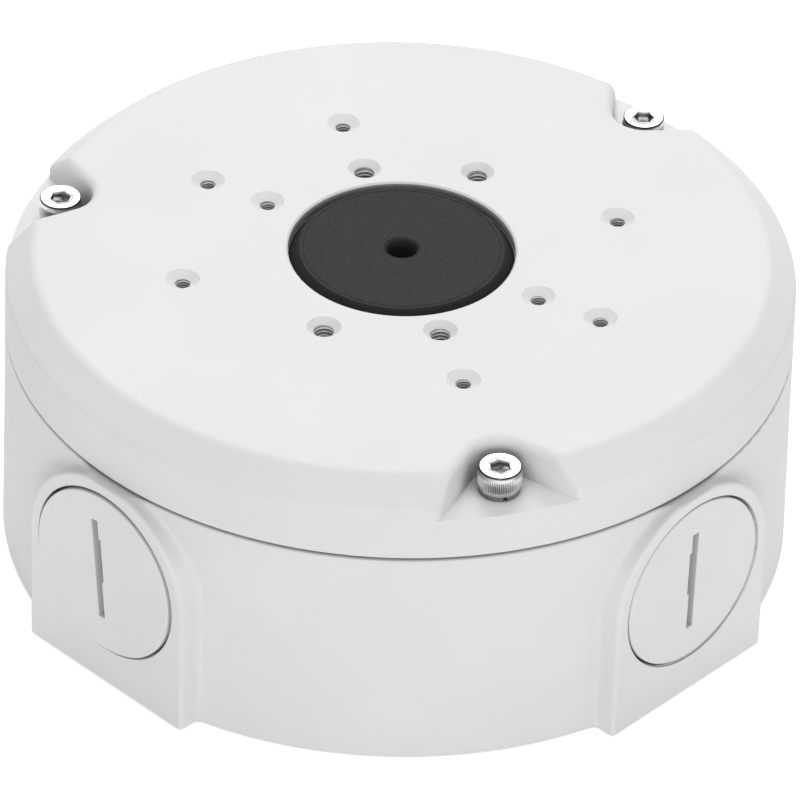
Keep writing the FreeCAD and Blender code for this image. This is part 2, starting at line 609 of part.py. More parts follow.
def soften_notches(body):
    """Round the upper edge of each notch, over the top face, the shoulder and the side."""
    centre, back = value_of(SCREW_CIRCLE), value_of("Sizes.notch_radius")
    flare = math.radians(value_of("Sizes.notch_flare_angle"))
    draft = math.tan(math.radians(value_of("Sizes.notch_draft_angle")))
    seat, top = value_of(SCREW_SEAT), value_of(TOP)
    crown = value_of("%s - Sizes.shoulder_width - Sizes.crown_fillet" % SHOULDER_RADIUS)

    def from_screw(point):
        """Distance of a point from the notch's centre line, the way the notch's sides run."""
        distances = []
        for number in range(len(SCREW_ANGLES)):
            angle = 2 * math.pi * number / len(SCREW_ANGLES)
            along = point.x * math.cos(angle) + point.y * math.sin(angle) - centre
            aside = abs(point.y * math.cos(angle) - point.x * math.sin(angle))
            if along * math.cos(flare) + aside * math.sin(flare) < 0:
                distances.append(math.hypot(along, aside))
            else:
                distances.append(aside * math.cos(flare) - along * math.sin(flare))
        return min(distances, key=abs)

    def at_upper_edge(edge):
        point = middle_of(edge)
        on_wall = near(from_screw(point), back + (point.z - seat) * draft)
        on_skin = near(point.z, top) or math.hypot(point.x, point.y) > crown
        return on_wall and on_skin and not near(point.z, seat)

    round_edges(body, "notch_edges", "Sizes.notch_fillet", at_upper_edge)


# Camera holes: tapped holes with a conical dimple, in pairs and fours on three circles.
# Angles are counted from the first screw.
CAMERA_HOLE_ANGLES = (
    ("outer_small", "Sizes.outer_circle", "small", (0, 90, 180, 270, 45, 225)),
    ("middle_small", "Sizes.middle_circle", "small", (45, 225)),
    ("middle_large", "Sizes.middle_circle", "large", (135, 315)),
    ("inner_large", "Sizes.inner_circle", "large", (0, 180)),
)


def drill_camera_holes(body):
    for name, circle, thread, angles in CAMERA_HOLE_ANGLES:
        dimples = new_sketch(body, "%s_dimples_outline" % name, "XY_Plane", TOP)
        holes = new_sketch(body, "%s_holes_outline" % name, "XY_Plane", TOP)
        for angle in angles:
            place = polar(circle, "%d" % angle)
            draw_circle(dimples, *place, "Sizes.dimple_radius")
            draw_circle(holes, *place, "Sizes.%s_hole_radius" % thread)
        taper = "-atan((Sizes.dimple_radius - Sizes.%s_dimple_floor) / Sizes.dimple_depth)" % thread
        cut_pocket(body, "%s_dimples" % name, dimples, "Sizes.dimple_depth", taper=taper)
        cut_pocket(body, "%s_holes" % name, holes, "Sizes.plate_thickness + Sizes.cut_margin")


# Gasket: one moulded loop that lies in the lid's groove and on the base's rim
def make_gasket():
    body = new_body("lid_gasket")
    turn_into_place(body)
    loop = new_sketch(body, "gasket_outline", "XY_Plane", "Sizes.base_height")
    draw_seal_loop(loop, "Sizes.gasket_width / 2")
    draw_seal_loop(loop, "-Sizes.gasket_width / 2")
    add_pad(body, "gasket", loop, "%s - Sizes.base_height" % GROOVE_TOP)
    return body


# Grommet: rubber, gripping the ledge of the lid's window between two flanges
def make_grommet():
    body = new_body("cable_grommet")
    profile = new_sketch(body, "grommet_profile", "XZ_Plane")
    neck = "(%s - Sizes.grommet_clearance)" % LEDGE_RADIUS
    rim = "(Sizes.window_radius - Sizes.grommet_clearance)"
    face = "(%s - Sizes.grommet_taper)" % rim
    flange = "(%s + Sizes.grommet_overlap)" % LEDGE_RADIUS
    underside = "(%s - Sizes.grommet_clearance)" % PLATE_UNDERSIDE
    draw_outline(profile, (
        ("Sizes.grommet_bore", "%s - Sizes.grommet_countersink" % TOP),
        ("Sizes.grommet_bore + Sizes.grommet_countersink", TOP),
        (face, TOP),
        (face, "%s - Sizes.grommet_face_step" % TOP),
        (rim, LEDGE_TOP),
        (neck, LEDGE_TOP),
        (neck, underside),
        (flange, underside),
        (flange, "%s - Sizes.grommet_flange_thickness" % underside),
        ("Sizes.grommet_bore", "%s - Sizes.grommet_flange_thickness" % underside)))
    revolve(body, "grommet", profile)
    return body


# Cap screw: built with its head's underside at the height zero, then stood on its washer
def make_screw(name, angle):
    body = new_body("lid_screw_%s" % name)
    place_at_screw(body, angle, SCREW_HEAD_SEAT)
    profile = new_sketch(body, "screw_profile_%s" % name, "XZ_Plane")
    draw_outline(profile, (
        ("0", "-Sizes.screw_length"),
        ("Sizes.shank_radius - Sizes.head_chamfer", "-Sizes.screw_length"),
        ("Sizes.shank_radius", "Sizes.head_chamfer - Sizes.screw_length"),
        ("Sizes.shank_radius", "0"),
        ("Sizes.head_radius", "0"),
        ("Sizes.head_radius", "Sizes.head_height - Sizes.head_chamfer"),
        ("Sizes.head_radius - Sizes.head_chamfer", "Sizes.head_height"),
        ("0", "Sizes.head_height")))
    revolve(body, "screw", profile)
    hexagon = new_sketch(body, "socket_outline_%s" % name, "XY_Plane", "Sizes.head_height")
    corner = "Sizes.socket_across / sqrt(3)"
    turn = "Sizes.socket_turn_angle_%s" % name
    draw_outline(hexagon, [polar(corner, "%s + %d" % (turn, 30 + 60 * side)) for side in range(6)])
    cut_pocket(body, "socket", hexagon, "Sizes.socket_depth")
    return body


# Spring washer: a split ring between screw head and lid
def make_washer(name, angle):
    body = new_body("spring_washer_%s" % name)
    place_at_screw(body, angle, SCREW_SEAT)
    ring = new_sketch(body, "washer_outline_%s" % name, "XY_Plane")
    draw_circle(ring, "0", "0", "Sizes.washer_radius")
    draw_circle(ring, "0", "0", "Sizes.washer_hole")
    add_pad(body, "ring", ring, "Sizes.washer_thickness")
    split = new_sketch(body, "split_outline_%s" % name, "XY_Plane")
    draw_outline(split, (
        ("0", "-Sizes.washer_split / 2"),
        ("Sizes.washer_radius + Sizes.washer_split", "-Sizes.washer_split / 2"),
        ("Sizes.washer_radius + Sizes.washer_split", "Sizes.washer_split / 2"),
        ("0", "Sizes.washer_split / 2")))
    cut_pocket(body, "split", split, "Sizes.washer_thickness", upward=True)
    return body


def place_at_screw(body, angle, height):
    """Stand a body on one of the screw axes."""
    turn_into_place(body, angle)
    along, across = polar(SCREW_CIRCLE, "Sizes.screw_angle + %d" % angle)
    for axis, text in (("x", along), ("y", across), ("z", height)):
        body.setExpression("Placement.Base.%s" % axis, text)


# Plug: moulded, hollow at the back, with a coin slot. The slot's middle is deeper and wider on one side.
# Built with its face at the height zero and its axis along Z, then laid into its entry.
def make_plug(name, angle):
    body = new_body("conduit_plug_%s" % name)
    profile = new_sketch(body, "plug_profile_%s" % name, "XZ_Plane")
    groove_floor = "(%s - Sizes.ring_section - Sizes.ring_clearance)" % RING_RADIUS
    half_groove = "(Sizes.ring_section + Sizes.ring_clearance)"
    hollow = "(%s - Sizes.ring_section - Sizes.plug_wall)" % PLUG_RADIUS
    draw_outline(profile, (
        ("0", "0"),
        (PLUG_FACE_RADIUS, "0"),
        (PLUG_FACE_RADIUS, "-Sizes.plug_edge"),
        (PLUG_RADIUS, "-Sizes.plug_edge - Sizes.plug_edge_step"),
        (PLUG_RADIUS, "-Sizes.ring_place + %s" % half_groove),
        (groove_floor, "-Sizes.ring_place + %s" % half_groove),
        (groove_floor, "-Sizes.ring_place - %s" % half_groove),
        (PLUG_RADIUS, "-Sizes.ring_place - %s" % half_groove),
        (PLUG_RADIUS, "-Sizes.plug_length"),
        (hollow, "-Sizes.plug_length"),
        (hollow, "-Sizes.plug_face_thickness"),
        ("0", "-Sizes.plug_face_thickness")))
    revolve(body, "plug", profile)
    aside, lift = "Sizes.slot_aside_%s" % name, "Sizes.slot_lift_%s" % name
    middle_aside = "%s + Sizes.slot_step_%s" % (aside, name)
    middle_lift = "%s + Sizes.slot_middle_lift" % lift
    for part, across, up in (("slot", aside, lift), ("slot_middle", middle_aside, middle_lift)):
        outline = new_sketch(body, "%s_outline_%s" % (part, name), "XY_Plane")
        near_side, far_side = ["%s %s Sizes.%s_width / 2" % (across, sign, part) for sign in "-+"]
        foot, top = ["%s %s Sizes.%s_length / 2" % (up, sign, part) for sign in "-+"]
        draw_outline(outline, (
            (near_side, foot), (far_side, foot), (far_side, top), (near_side, top)))
        cut_pocket(body, part, outline, "Sizes.%s_depth" % part)
    round_edges(body, "face_edges", "Sizes.plug_edge_fillet",
                lambda edge: near(edge.BoundBox.ZMin, 0, 0.001) and near(edge.BoundBox.ZMax, 0, 0.001))
    lean = value_of("Sizes.slot_lean_angle_%s" % name)
    lay_in_entry(body, angle, lean, "%s - Sizes.plug_sink_%s" % (BOSS_FACE, name))
    return body


# Plug seal: a rubber ring in the plug's groove
def make_plug_seal(name, angle):
    ring = doc.addObject("Part::Torus", "plug_seal_%s" % name)
    ring.Label = "plug_seal_%s" % name
    ring.setExpression("Radius1", RING_RADIUS)
    ring.setExpression("Radius2", "Sizes.ring_section")
    lay_in_entry(ring, angle, 0, "%s - Sizes.plug_sink_%s - Sizes.ring_place" % (BOSS_FACE, name))
    return ring


def lay_in_entry(piece, angle, spin, distance):
    """Point a piece's own Z axis out of an entry, after a spin about that axis."""
    axis = FreeCAD.Vector(0, 0, 1)
    outward = FreeCAD.Rotation(axis, angle) * FreeCAD.Rotation(FreeCAD.Vector(0, 1, 0), 90)
    upright = FreeCAD.Rotation(axis, 90 + spin)
    piece.Placement = FreeCAD.Placement(FreeCAD.Vector(), outward * upright)
    along, across = polar("(%s)" % distance, "%d" % angle)
    for name, text in (("x", along), ("y", across), ("z", ENTRY_HEIGHT)):
        piece.setExpression("Placement.Base.%s" % name, text)


pieces = [make_base(), make_lid(), make_gasket(), make_grommet()]
for side, direction in SCREW_ANGLES:
    pieces += [make_screw(side, direction), make_washer(side, direction)]
for side, direction in ENTRY_ANGLES:
    pieces += [make_plug(side, direction), make_plug_seal(side, direction)]
doc.recompute()

# Every object is checked before any file is written
for item in doc.Objects:
    if "Invalid" in item.State or "Error" in item.State:
        raise RuntimeError("%s failed: %s" % (item.Label, item.State))
for piece in pieces:
    shape = piece.Shape
    if shape.isNull() or not shape.isValid() or len(shape.Solids) != 1:
        raise RuntimeError("%s is not one sound solid" % piece.Label)

os.makedirs("parts", exist_ok=True)
for piece in pieces:
    piece.Shape.exportStep("parts/%s.step" % piece.Label)
    print("%s: %.0f mm3" % (piece.Label, piece.Shape.Volume))
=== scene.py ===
import math

import bpy
import numpy as np
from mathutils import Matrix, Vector


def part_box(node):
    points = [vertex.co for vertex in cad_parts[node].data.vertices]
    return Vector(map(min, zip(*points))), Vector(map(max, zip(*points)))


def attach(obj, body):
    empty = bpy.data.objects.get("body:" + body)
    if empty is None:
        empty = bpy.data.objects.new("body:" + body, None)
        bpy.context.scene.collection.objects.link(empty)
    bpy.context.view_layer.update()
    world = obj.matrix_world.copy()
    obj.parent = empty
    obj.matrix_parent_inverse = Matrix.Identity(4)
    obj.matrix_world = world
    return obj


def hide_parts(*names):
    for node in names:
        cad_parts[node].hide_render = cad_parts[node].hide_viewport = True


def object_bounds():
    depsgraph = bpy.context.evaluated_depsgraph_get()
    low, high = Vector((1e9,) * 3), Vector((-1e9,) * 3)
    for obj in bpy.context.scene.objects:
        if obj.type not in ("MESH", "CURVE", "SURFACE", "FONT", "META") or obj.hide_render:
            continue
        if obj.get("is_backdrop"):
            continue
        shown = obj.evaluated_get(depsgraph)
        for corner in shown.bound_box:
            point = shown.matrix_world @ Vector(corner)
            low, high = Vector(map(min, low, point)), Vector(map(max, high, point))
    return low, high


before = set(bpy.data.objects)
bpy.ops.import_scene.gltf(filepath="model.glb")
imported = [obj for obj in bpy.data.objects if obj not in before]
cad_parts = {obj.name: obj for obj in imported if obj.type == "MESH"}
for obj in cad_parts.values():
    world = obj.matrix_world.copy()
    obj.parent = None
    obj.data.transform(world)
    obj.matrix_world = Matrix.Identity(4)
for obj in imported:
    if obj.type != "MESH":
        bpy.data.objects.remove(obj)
cad_low, cad_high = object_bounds()

# Base housing. A round cup with arched bosses for the conduit entries, die-cast in aluminium alloy,
# trimmed flat at its rim, and powder-coated white. The coat is a matt polyester film about 0.08 mm
# thick: it shows a fine grain and a faint orange peel, and it softens every edge a little.
MM = 0.001
coat_colours = ("#E9E9E9", "#E6E6E6")
coat_cloud = 25 * MM
coat_grain = 0.35 * MM
coat_peel = 2.2 * MM
coat_relief = 0.006 * MM
# Painted shade darkens the coat where other surfaces close in within this distance.
coat_recess = 7 * MM
foot_height, foot_end = 2 * MM, 9 * MM


def linear(code):
    """An sRGB hex colour as linear red, green, blue and alpha."""
    parts = [int(code[i:i + 2], 16) / 255 for i in (1, 3, 5)]
    return [p / 12.92 if p <= 0.04045 else ((p + 0.055) / 1.055) ** 2.4 for p in parts] + [1.0]


def add_node(tree, kind, inputs=(), **settings):
    """A new node with its settings. Each input is a number, a colour or another node's output."""
    node = tree.nodes.new(kind)
    for name, value in settings.items():
        setattr(node, name, value)
    for name, value in dict(inputs).items():
        if isinstance(value, bpy.types.NodeSocket):
            tree.links.new(value, node.inputs[name])
        else:
            node.inputs[name].default_value = value
    return node


def new_material(name, **numbers):
    """A material with its node tree, its shader, and the Object coordinates of its patterns."""
    material = bpy.data.materials.new(name)
    material.use_nodes = True
    tree = material.node_tree
    shader = tree.nodes["Principled BSDF"]
    for socket, number in numbers.items():
        shader.inputs[socket.replace("_", " ")].default_value = number
    return material, tree, shader, add_node(tree, "ShaderNodeTexCoord").outputs["Object"]


def mottle_and_painted_shade(tree, shader, place, colours, size, recess=0, deepest=1, clear=0.5, upward_darkest=1):
    """Two tones of one colour, mixed by soft noise of the given size.

    With a recess size, painted shade darkens the colour where surfaces closer than that size leave
    less than the share clear of the view open, down to the share deepest; near the foot this
    painted shade fades out. Faces turned up get painted shade as well, down to the share given."""
    cloud = add_node(tree, "ShaderNodeTexNoise", {"Vector": place, "Scale": 1 / size, "Detail": 3})
    patches = add_node(tree, "ShaderNodeMapRange", {0: cloud.outputs[0], 1: 0.35, 2: 0.65})
    tone = add_node(tree, "ShaderNodeMix", {
        0: patches.outputs[0], 6: linear(colours[0]), 7: linear(colours[1])},
        data_type="RGBA").outputs[2]
    if recess:
        # Painted shade where nearby surfaces close in, faded out near the foot.
        free = add_node(tree, "ShaderNodeAmbientOcclusion", {"Distance": recess}, samples=8)
        recess_shade = add_node(tree, "ShaderNodeMapRange", {
            0: free.outputs["AO"], 1: 0.1, 2: clear, 3: deepest})
        level = add_node(tree, "ShaderNodeSeparateXYZ", {0: place}).outputs[2]
        foot = add_node(tree, "ShaderNodeMapRange", {
            0: level, 1: foot_height, 2: foot_end, 3: 1, 4: deepest})
        share = add_node(tree, "ShaderNodeMath", {0: recess_shade.outputs[0], 1: foot.outputs[0]},
                         operation="MAXIMUM").outputs[0]
        # Painted shade on faces turned up.
        facing = add_node(tree, "ShaderNodeNewGeometry").outputs["Normal"]
        upward = add_node(tree, "ShaderNodeSeparateXYZ", {0: facing}).outputs[2]
        upward_shade = add_node(tree, "ShaderNodeMapRange", {
            0: upward, 1: 0.45, 2: 0.95, 3: 1, 4: upward_darkest})
        share = add_node(tree, "ShaderNodeMath", {0: share, 1: upward_shade.outputs[0]},
                         operation="MULTIPLY").outputs[0]
        tone = add_node(tree, "ShaderNodeMix", {0: 1.0, 6: tone, 7: share},
                        data_type="RGBA", blend_type="MULTIPLY").outputs[2]
    tree.links.new(tone, shader.inputs["Base Color"])
    return cloud.outputs[0]


def relief(tree, shader, height, distance):
    """A bump from a height between 0 and 1, of the given real distance."""
    bump = add_node(tree, "ShaderNodeBump", {"Height": height, "Strength": 1, "Distance": distance})
    tree.links.new(bump.outputs[0], shader.inputs["Normal"])


def powder_coat(name, deepest, upward_darkest):
    """White powder coat on cast aluminium: matt, with grain, orange peel, a patchy sheen and
    painted shade.
    """
    material, tree, shader, place = new_material(name, IOR=1.5)
    mottle_and_painted_shade(tree, shader, place, coat_colours, coat_cloud, coat_recess, deepest, upward_darkest=upward_darkest)
    grain = add_node(tree, "ShaderNodeTexNoise", {
        "Vector": place, "Scale": 1 / coat_grain, "Detail": 2})
    peel = add_node(tree, "ShaderNodeTexNoise", {
        "Vector": place, "Scale": 1 / coat_peel, "Detail": 1})
    sheen = add_node(tree, "ShaderNodeMapRange", {0: grain.outputs[0], 3: 0.48, 4: 0.66})
    tree.links.new(sheen.outputs[0], shader.inputs["Roughness"])
    height = add_node(tree, "ShaderNodeMath", {
        0: peel.outputs[0], 1: 1.5, 2: grain.outputs[0]}, operation="MULTIPLY_ADD")
    relief(tree, shader, height.outputs[0], coat_relief)
    return material


def finish_node(name, material):
    """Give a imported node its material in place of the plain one."""
    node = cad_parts[name]
    node.data.materials.clear()
    node.data.materials.append(material)


# The base's copy of the coat has light painted shade in recesses and painted shade on faces turned
# up.
finish_node("base_housing", powder_coat("powder_coat_on_cast_base", deepest=0.95, upward_darkest=0.77))

# Threads of the conduit entries. The entries are tapped M32 x 1.5 and coated at the mouth, so the
# first turns of bare aluminium thread stand back in the narrow gap round each plug's face.
entry_directions = {"right": 0, "front": -90, "left": 180}
entry_height = 22.95 * MM
entry_radius = 15.85 * MM
entry_pitch = 1.5 * MM
entry_thread_height = 0.34 * MM
boss_face = 68.4 * MM
thread_start, thread_end = 0.35 * MM, 1.8 * MM


def lay_surface(name, grids, ring=False, crease=35):
    """One mesh from grids of rows and columns of points.

    Columns always join round. Rows join round too for a ring. Otherwise each end row is closed by
    a fan to its own middle. Each grid's faces are turned so that its volume is positive."""
    points, faces, start = [], [], 0
    for grid in grids:
        rows, columns = grid.shape[:2]
        number = np.arange(rows * columns).reshape(rows, columns)
        beside = np.roll(number, -1, axis=1)
        low, high = (number, beside), (np.roll(number, -1, axis=0), np.roll(beside, -1, axis=0))
        if not ring:
            low, high = (number[:-1], beside[:-1]), (number[1:], beside[1:])
        quads = np.stack([low[0], low[1], high[1], high[0]], axis=-1).reshape(-1, 4)
        here = grid.reshape(-1, 3)
        fans = np.empty((0, 3), int)
        if not ring:
            first = rows * columns
            fans = np.concatenate([
                np.stack([beside[0], number[0], np.full(columns, first)], axis=-1),
                np.stack([number[-1], beside[-1], np.full(columns, first + 1)], axis=-1)])
            here = np.concatenate([here, grid[[0, -1]].mean(axis=1)])
        thirds = np.concatenate([quads[:, [0, 1, 2]], quads[:, [0, 2, 3]], fans])
        corners = here[thirds] - here.mean(axis=0)
        inside = np.einsum("ij,ij->i", corners[:, 0], np.cross(corners[:, 1], corners[:, 2])).sum()
        if inside < 0:
            quads, fans = quads[:, ::-1], fans[:, ::-1]
        points.append(here)
        faces += (quads + start).tolist() + (fans + start).tolist()
        start += len(here)
    mesh = bpy.data.meshes.new(name)
    mesh.from_pydata(np.concatenate(points).tolist(), [], faces)
    mesh.shade_smooth()
    mesh.set_sharp_from_angle(angle=math.radians(crease))
    piece = bpy.data.objects.new(name, mesh)
    bpy.context.scene.collection.objects.link(piece)
    return piece


def thread_ridge(radius, height, width, pitch, turns, first_depth, first_angle, fade, steps=48):
    """A ridge inside a round hole, as a trapezium carried along a helix.

    At the share t of its length it has turned by turns * t and lies pitch * turns * t deeper. Its
    height and width grow from a point over the share fade, and shrink again at the end."""
    share = np.linspace(0, 1, max(int(steps * turns), 12))
    size = np.clip(np.minimum(share, 1 - share) / fade, 0.02, 1)
    angle = math.radians(first_angle) + 2 * math.pi * turns * share
    inward = np.array([-0.1, 1, 1, -0.1])
    along = np.array([-0.5, -0.12, 0.12, 0.5])
    distance = radius - height * size[:, None] * inward
    depth = -(first_depth + pitch * turns * share)[:, None] + width * size[:, None] * along
    return np.stack([distance * np.cos(angle)[:, None], distance * np.sin(angle)[:, None], depth],
                    axis=-1)


def lay_along(points, direction, place):
    """Points drawn about the Z axis, laid so that Z points out level in a direction, at a place."""
    a = math.radians(direction)
    outward = np.array([math.cos(a), math.sin(a), 0])
    sideways = np.array([-math.sin(a), math.cos(a), 0])
    upward = np.array([0, 0, 1])
    return points @ np.stack([sideways, upward, outward]) + place


def tapped_aluminium(name, colours, deepest):
    """Cut aluminium: matt from the scratches that a tap leaves, and darker in recesses by painted
    shade.
    """
    material, tree, shader, place = new_material(name, Metallic=1.0)
    mottle_and_painted_shade(tree, shader, place, colours, 0.3 * MM, recess=2 * MM, deepest=deepest, clear=0.8)
    scratches = add_node(tree, "ShaderNodeTexNoise", {
        "Vector": place, "Scale": 1 / (0.1 * MM), "Detail": 2})
    sheen = add_node(tree, "ShaderNodeMapRange", {0: scratches.outputs[0], 3: 0.4, 4: 0.6})
    tree.links.new(sheen.outputs[0], shader.inputs["Roughness"])
    return material


def entry_thread_sleeve(columns=360, levels=19):
    """The bore's skin as a thin sleeve. Its inside radius falls by the thread's height times a
    triangle wave of depth / pitch minus turn, and both ends fade into the bore."""
    turn = np.arange(columns)[:, None] / columns
    depth = np.linspace(thread_start, thread_end, levels)[None, :]
    wave = np.clip(1.25 - 2.5 * np.abs((depth / entry_pitch - turn) % 1 - 0.5), 0, 1)
    fade = np.clip(np.minimum(depth - thread_start, thread_end - depth) / (0.25 * MM), 0, 1)
    inside = entry_radius - 0.02 * MM - entry_thread_height * wave * fade
    radius = np.concatenate([inside, np.full((columns, 2), entry_radius)], axis=1)
    level = np.concatenate([depth[0], (thread_end, thread_start)])
    angle = 2 * math.pi * turn
    return np.stack([radius * np.cos(angle), radius * np.sin(angle),
                     -np.tile(level, (columns, 1))], axis=-1)


# Painted shade darkens the thread in the narrow gap round each plug.
shaded_entry_thread = tapped_aluminium(
    "tapped_aluminium_with_painted_shade", ("#C6C7C8", "#9C9D9E"), deepest=0.7)
for side, direction in entry_directions.items():
    a = math.radians(direction)
    mouth = np.array([boss_face * math.cos(a), boss_face * math.sin(a), entry_height])
    sleeve = lay_along(entry_thread_sleeve(), direction, mouth)
    entry_thread = lay_surface("entry_thread_" + side, [sleeve], ring=True)
    entry_thread.data.materials.append(shaded_entry_thread)
    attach(entry_thread, "root")

# Conduit plugs and their seals. Each plug is injection moulded in white polypropylene, with a coin
# slot whose middle is deeper. Its skin copies the spark-eroded mould: finer than the coat and a
# little glossier. The seal behind its face is a ring of black nitrile rubber.
plug_colours = ("#E7E7E7", "#E4E4E4")
plug_grain = 0.18 * MM


def moulded_white(name):
    """White polypropylene: satin, with the fine even grain of an eroded mould, and painted shade in
    recesses.
    """
    material, tree, shader, place = new_material(name, IOR=1.49)
    mottle_and_painted_shade(tree, shader, place, plug_colours, 12 * MM, recess=3 * MM, deepest=0.65, clear=0.9)
    grain = add_node(tree, "ShaderNodeTexNoise", {
        "Vector": place, "Scale": 1 / plug_grain, "Detail": 1})
    sheen = add_node(tree, "ShaderNodeMapRange", {0: grain.outputs[0], 3: 0.42, 4: 0.55})
    tree.links.new(sheen.outputs[0], shader.inputs["Roughness"])
    relief(tree, shader, grain.outputs[0], 0.003 * MM)
    return material


def black_rubber(name, colours, grain_size, grain_relief, recess=0):
    """Black vulcanised rubber: dusty, porous with soot that swallows most gloss; with a recess,
    painted shade.
    """
    material, tree, shader, place = new_material(name, IOR=1.52, Specular_IOR_Level=0.3)
    mottle_and_painted_shade(tree, shader, place, colours, grain_size, recess, deepest=0.2, clear=0.95)
    grain = add_node(tree, "ShaderNodeTexNoise", {
        "Vector": place, "Scale": 1 / grain_size, "Detail": 3, "Roughness": 0.7})
    sheen = add_node(tree, "ShaderNodeMapRange", {0: grain.outputs[0], 3: 0.7, 4: 0.9})
    tree.links.new(sheen.outputs[0], shader.inputs["Roughness"])
    relief(tree, shader, grain.outputs[0], grain_relief)
    return material


plug_plastic = moulded_white("moulded_white_polypropylene")
seal_rubber = black_rubber(
    "black_nitrile_rubber", ("#141414", "#191919"), grain_size=0.3 * MM, grain_relief=0.01 * MM)
for side in entry_directions:
    finish_node("conduit_plug_" + side, plug_plastic)
    finish_node("plug_seal_" + side, seal_rubber)

# Lid gasket. One moulded loop of EPDM rubber, grey with dust, in the groove of the lid's edge. It
# jogs inwards round the three screws, and it shows deep in the gap between base and lid.
finish_node("lid_gasket", black_rubber(
    "dusty_epdm_rubber", ("#565656", "#626262"), grain_size=0.4 * MM, grain_relief=0.01 * MM))

# Lid. A shallow die-cast cap with a sloped shoulder and three flared notches for the screws. It is
# coated with the same powder as the base.
# The lid's copy of the coat has deep painted shade in its notches, dimples and edges.
lid_coat = powder_coat("powder_coat_on_cast_lid", deepest=0.2, upward_darkest=1)
finish_node("lid", lid_coat)

# Threads of the camera holes. Six M3 holes lie on the outer circle, and M3 and M4 pairs nearer the
# middle. They are tapped through the coat, so their threads are bare aluminium with fine crests.
# In the corner of each dimple the powder has run to a soft cone, down to the mouth of the hole.
lid_top = cad_high.z
dimple_radius = 2.85 * MM
dimple_depth = 1.0 * MM
dimple_slope = 0.75
hole_depth = 3.5 * MM
first_screw = 330
bare_edge = 0.05 * MM
small_hole = dict(radius=1.3 * MM, height=0.16 * MM, width=0.42 * MM, pitch=0.5 * MM)
large_hole = dict(radius=1.75 * MM, height=0.2 * MM, width=0.6 * MM, pitch=0.7 * MM)
hole_rows = (
    (37.7 * MM, small_hole, (0, 90, 180, 270, 45, 225)),
    (26.0 * MM, small_hole, (45, 225)),
    (26.0 * MM, large_hole, (135, 315)),
    (23.8 * MM, large_hole, (0, 180)),
)


def turn_profile(profile, columns):
    """A ring of revolution: each angle's row holds the closed profile of radius and height."""
    angle = np.arange(columns) * 2 * math.pi / columns
    across, up = profile.T
    return np.stack([np.outer(np.cos(angle), across), np.outer(np.sin(angle), across),
                     np.tile(up, (columns, 1))], axis=-1)


def dimple_corner(hole_radius, steps=9):
    """The run powder's section. At the share s of the way in from the lip it is depth * s ** 0.85
    deep, and it closes along the dimple's floor and wall, a hair inside the metal."""
    share = np.linspace(0.02, 1, steps)
    across = dimple_radius + (hole_radius + bare_edge - dimple_radius) * share
    skin = np.stack([across, -dimple_depth * share ** 0.85], axis=-1)
    floor_radius = dimple_radius - dimple_slope * dimple_depth
    corner = np.array([(floor_radius + bare_edge, -dimple_depth - bare_edge)])
    return np.concatenate([skin, corner])


ridges, corners = [], []
for circle, hole, angles in hole_rows:
    turns = (hole_depth - dimple_depth - hole["width"]) / hole["pitch"]
    for angle in angles:
        a = math.radians(first_screw + angle)
        ridge = thread_ridge(turns=turns, first_depth=dimple_depth + hole["width"] / 2,
                             first_angle=angle, fade=0.06, steps=28, **hole)
        mouth = np.array([circle * math.cos(a), circle * math.sin(a), lid_top])
        ridges.append(ridge + mouth)
        corners.append(turn_profile(dimple_corner(hole["radius"]), 72) + mouth)
dimple_coat = lay_surface("dimple_coat", corners, ring=True)
dimple_coat.data.materials.append(lid_coat)
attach(dimple_coat, "root")
camera_hole_threads = lay_surface("camera_hole_threads", ridges)
# Painted shade darkens the threads deep in the holes.
camera_hole_threads.data.materials.append(
    tapped_aluminium("tapped_aluminium", ("#C4C5C6", "#B0B1B2"), deepest=0.25))
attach(camera_hole_threads, "root")

# Cable grommet. Moulded in black EPDM rubber, it grips the ledge of the lid's window between two
# flanges. One fine groove runs round its upper face near the edge and one round the mouth of its
# cable hole, and its side tapers out to the lid.
grommet_low, grommet_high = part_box("cable_grommet")
face = (grommet_high.z - grommet_low.z) / MM
grommet_profile = np.array([
    (2.6, 0), (2.6, face - 0.55), (2.66, face - 0.4), (2.78, face - 0.08), (2.94, face - 0.04),
    (2.97, face - 0.2), (3.04, face - 0.2), (3.07, face), (10.0, face),
    (16.4, face), (16.48, face - 0.07), (16.6, face - 0.07), (16.68, face),
    (17.05, face), (17.15, face - 0.02), (17.2, face - 0.08),
    (17.35, face - 0.45), (18.2, face - 1.35), (18.98, face - 2.1),
    (17.58, face - 2.1), (17.58, 2.2), (21.3, 2.2), (21.5, 2.0), (21.5, 0.2), (21.3, 0)])

grommet_grid = turn_profile(grommet_profile, 160) * MM + np.array([0, 0, grommet_low.z])
grommet = lay_surface("grommet_moulding", [grommet_grid], ring=True)
# Painted shade darkens the grommet's rubber where nearby surfaces close in.
grommet.data.materials.append(black_rubber(
    "moulded_epdm_rubber", ("#111112", "#353536"),
    grain_size=0.24 * MM, grain_relief=0.02 * MM, recess=4 * MM))
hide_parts("cable_grommet")
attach(grommet, "root")

# Lid screws and their spring washers. Three M4 cap screws of nickel-plated steel. The head is cold
# headed with a hexagon socket, knurled between a rounded rim and a plain band, and plated bright.
# Painted shade darkens the knurling's grooves, the thread's roots, the socket and the lines of the
# plain band, and a painted dark reflection lies on the head's rounded rim. The split washers are of
# the same steel.
screw_columns = 288
knurl_count = 72
knurl_crest, knurl_valley = 3.62, 3.42
head_height, socket_half, socket_depth = 4.0, 1.5, 2.2
thread_pitch, thread_core, thread_height = 0.7, 1.62, 0.35
socket_turns = {"front": 20.5, "rear": -16.5, "left": 1.5}


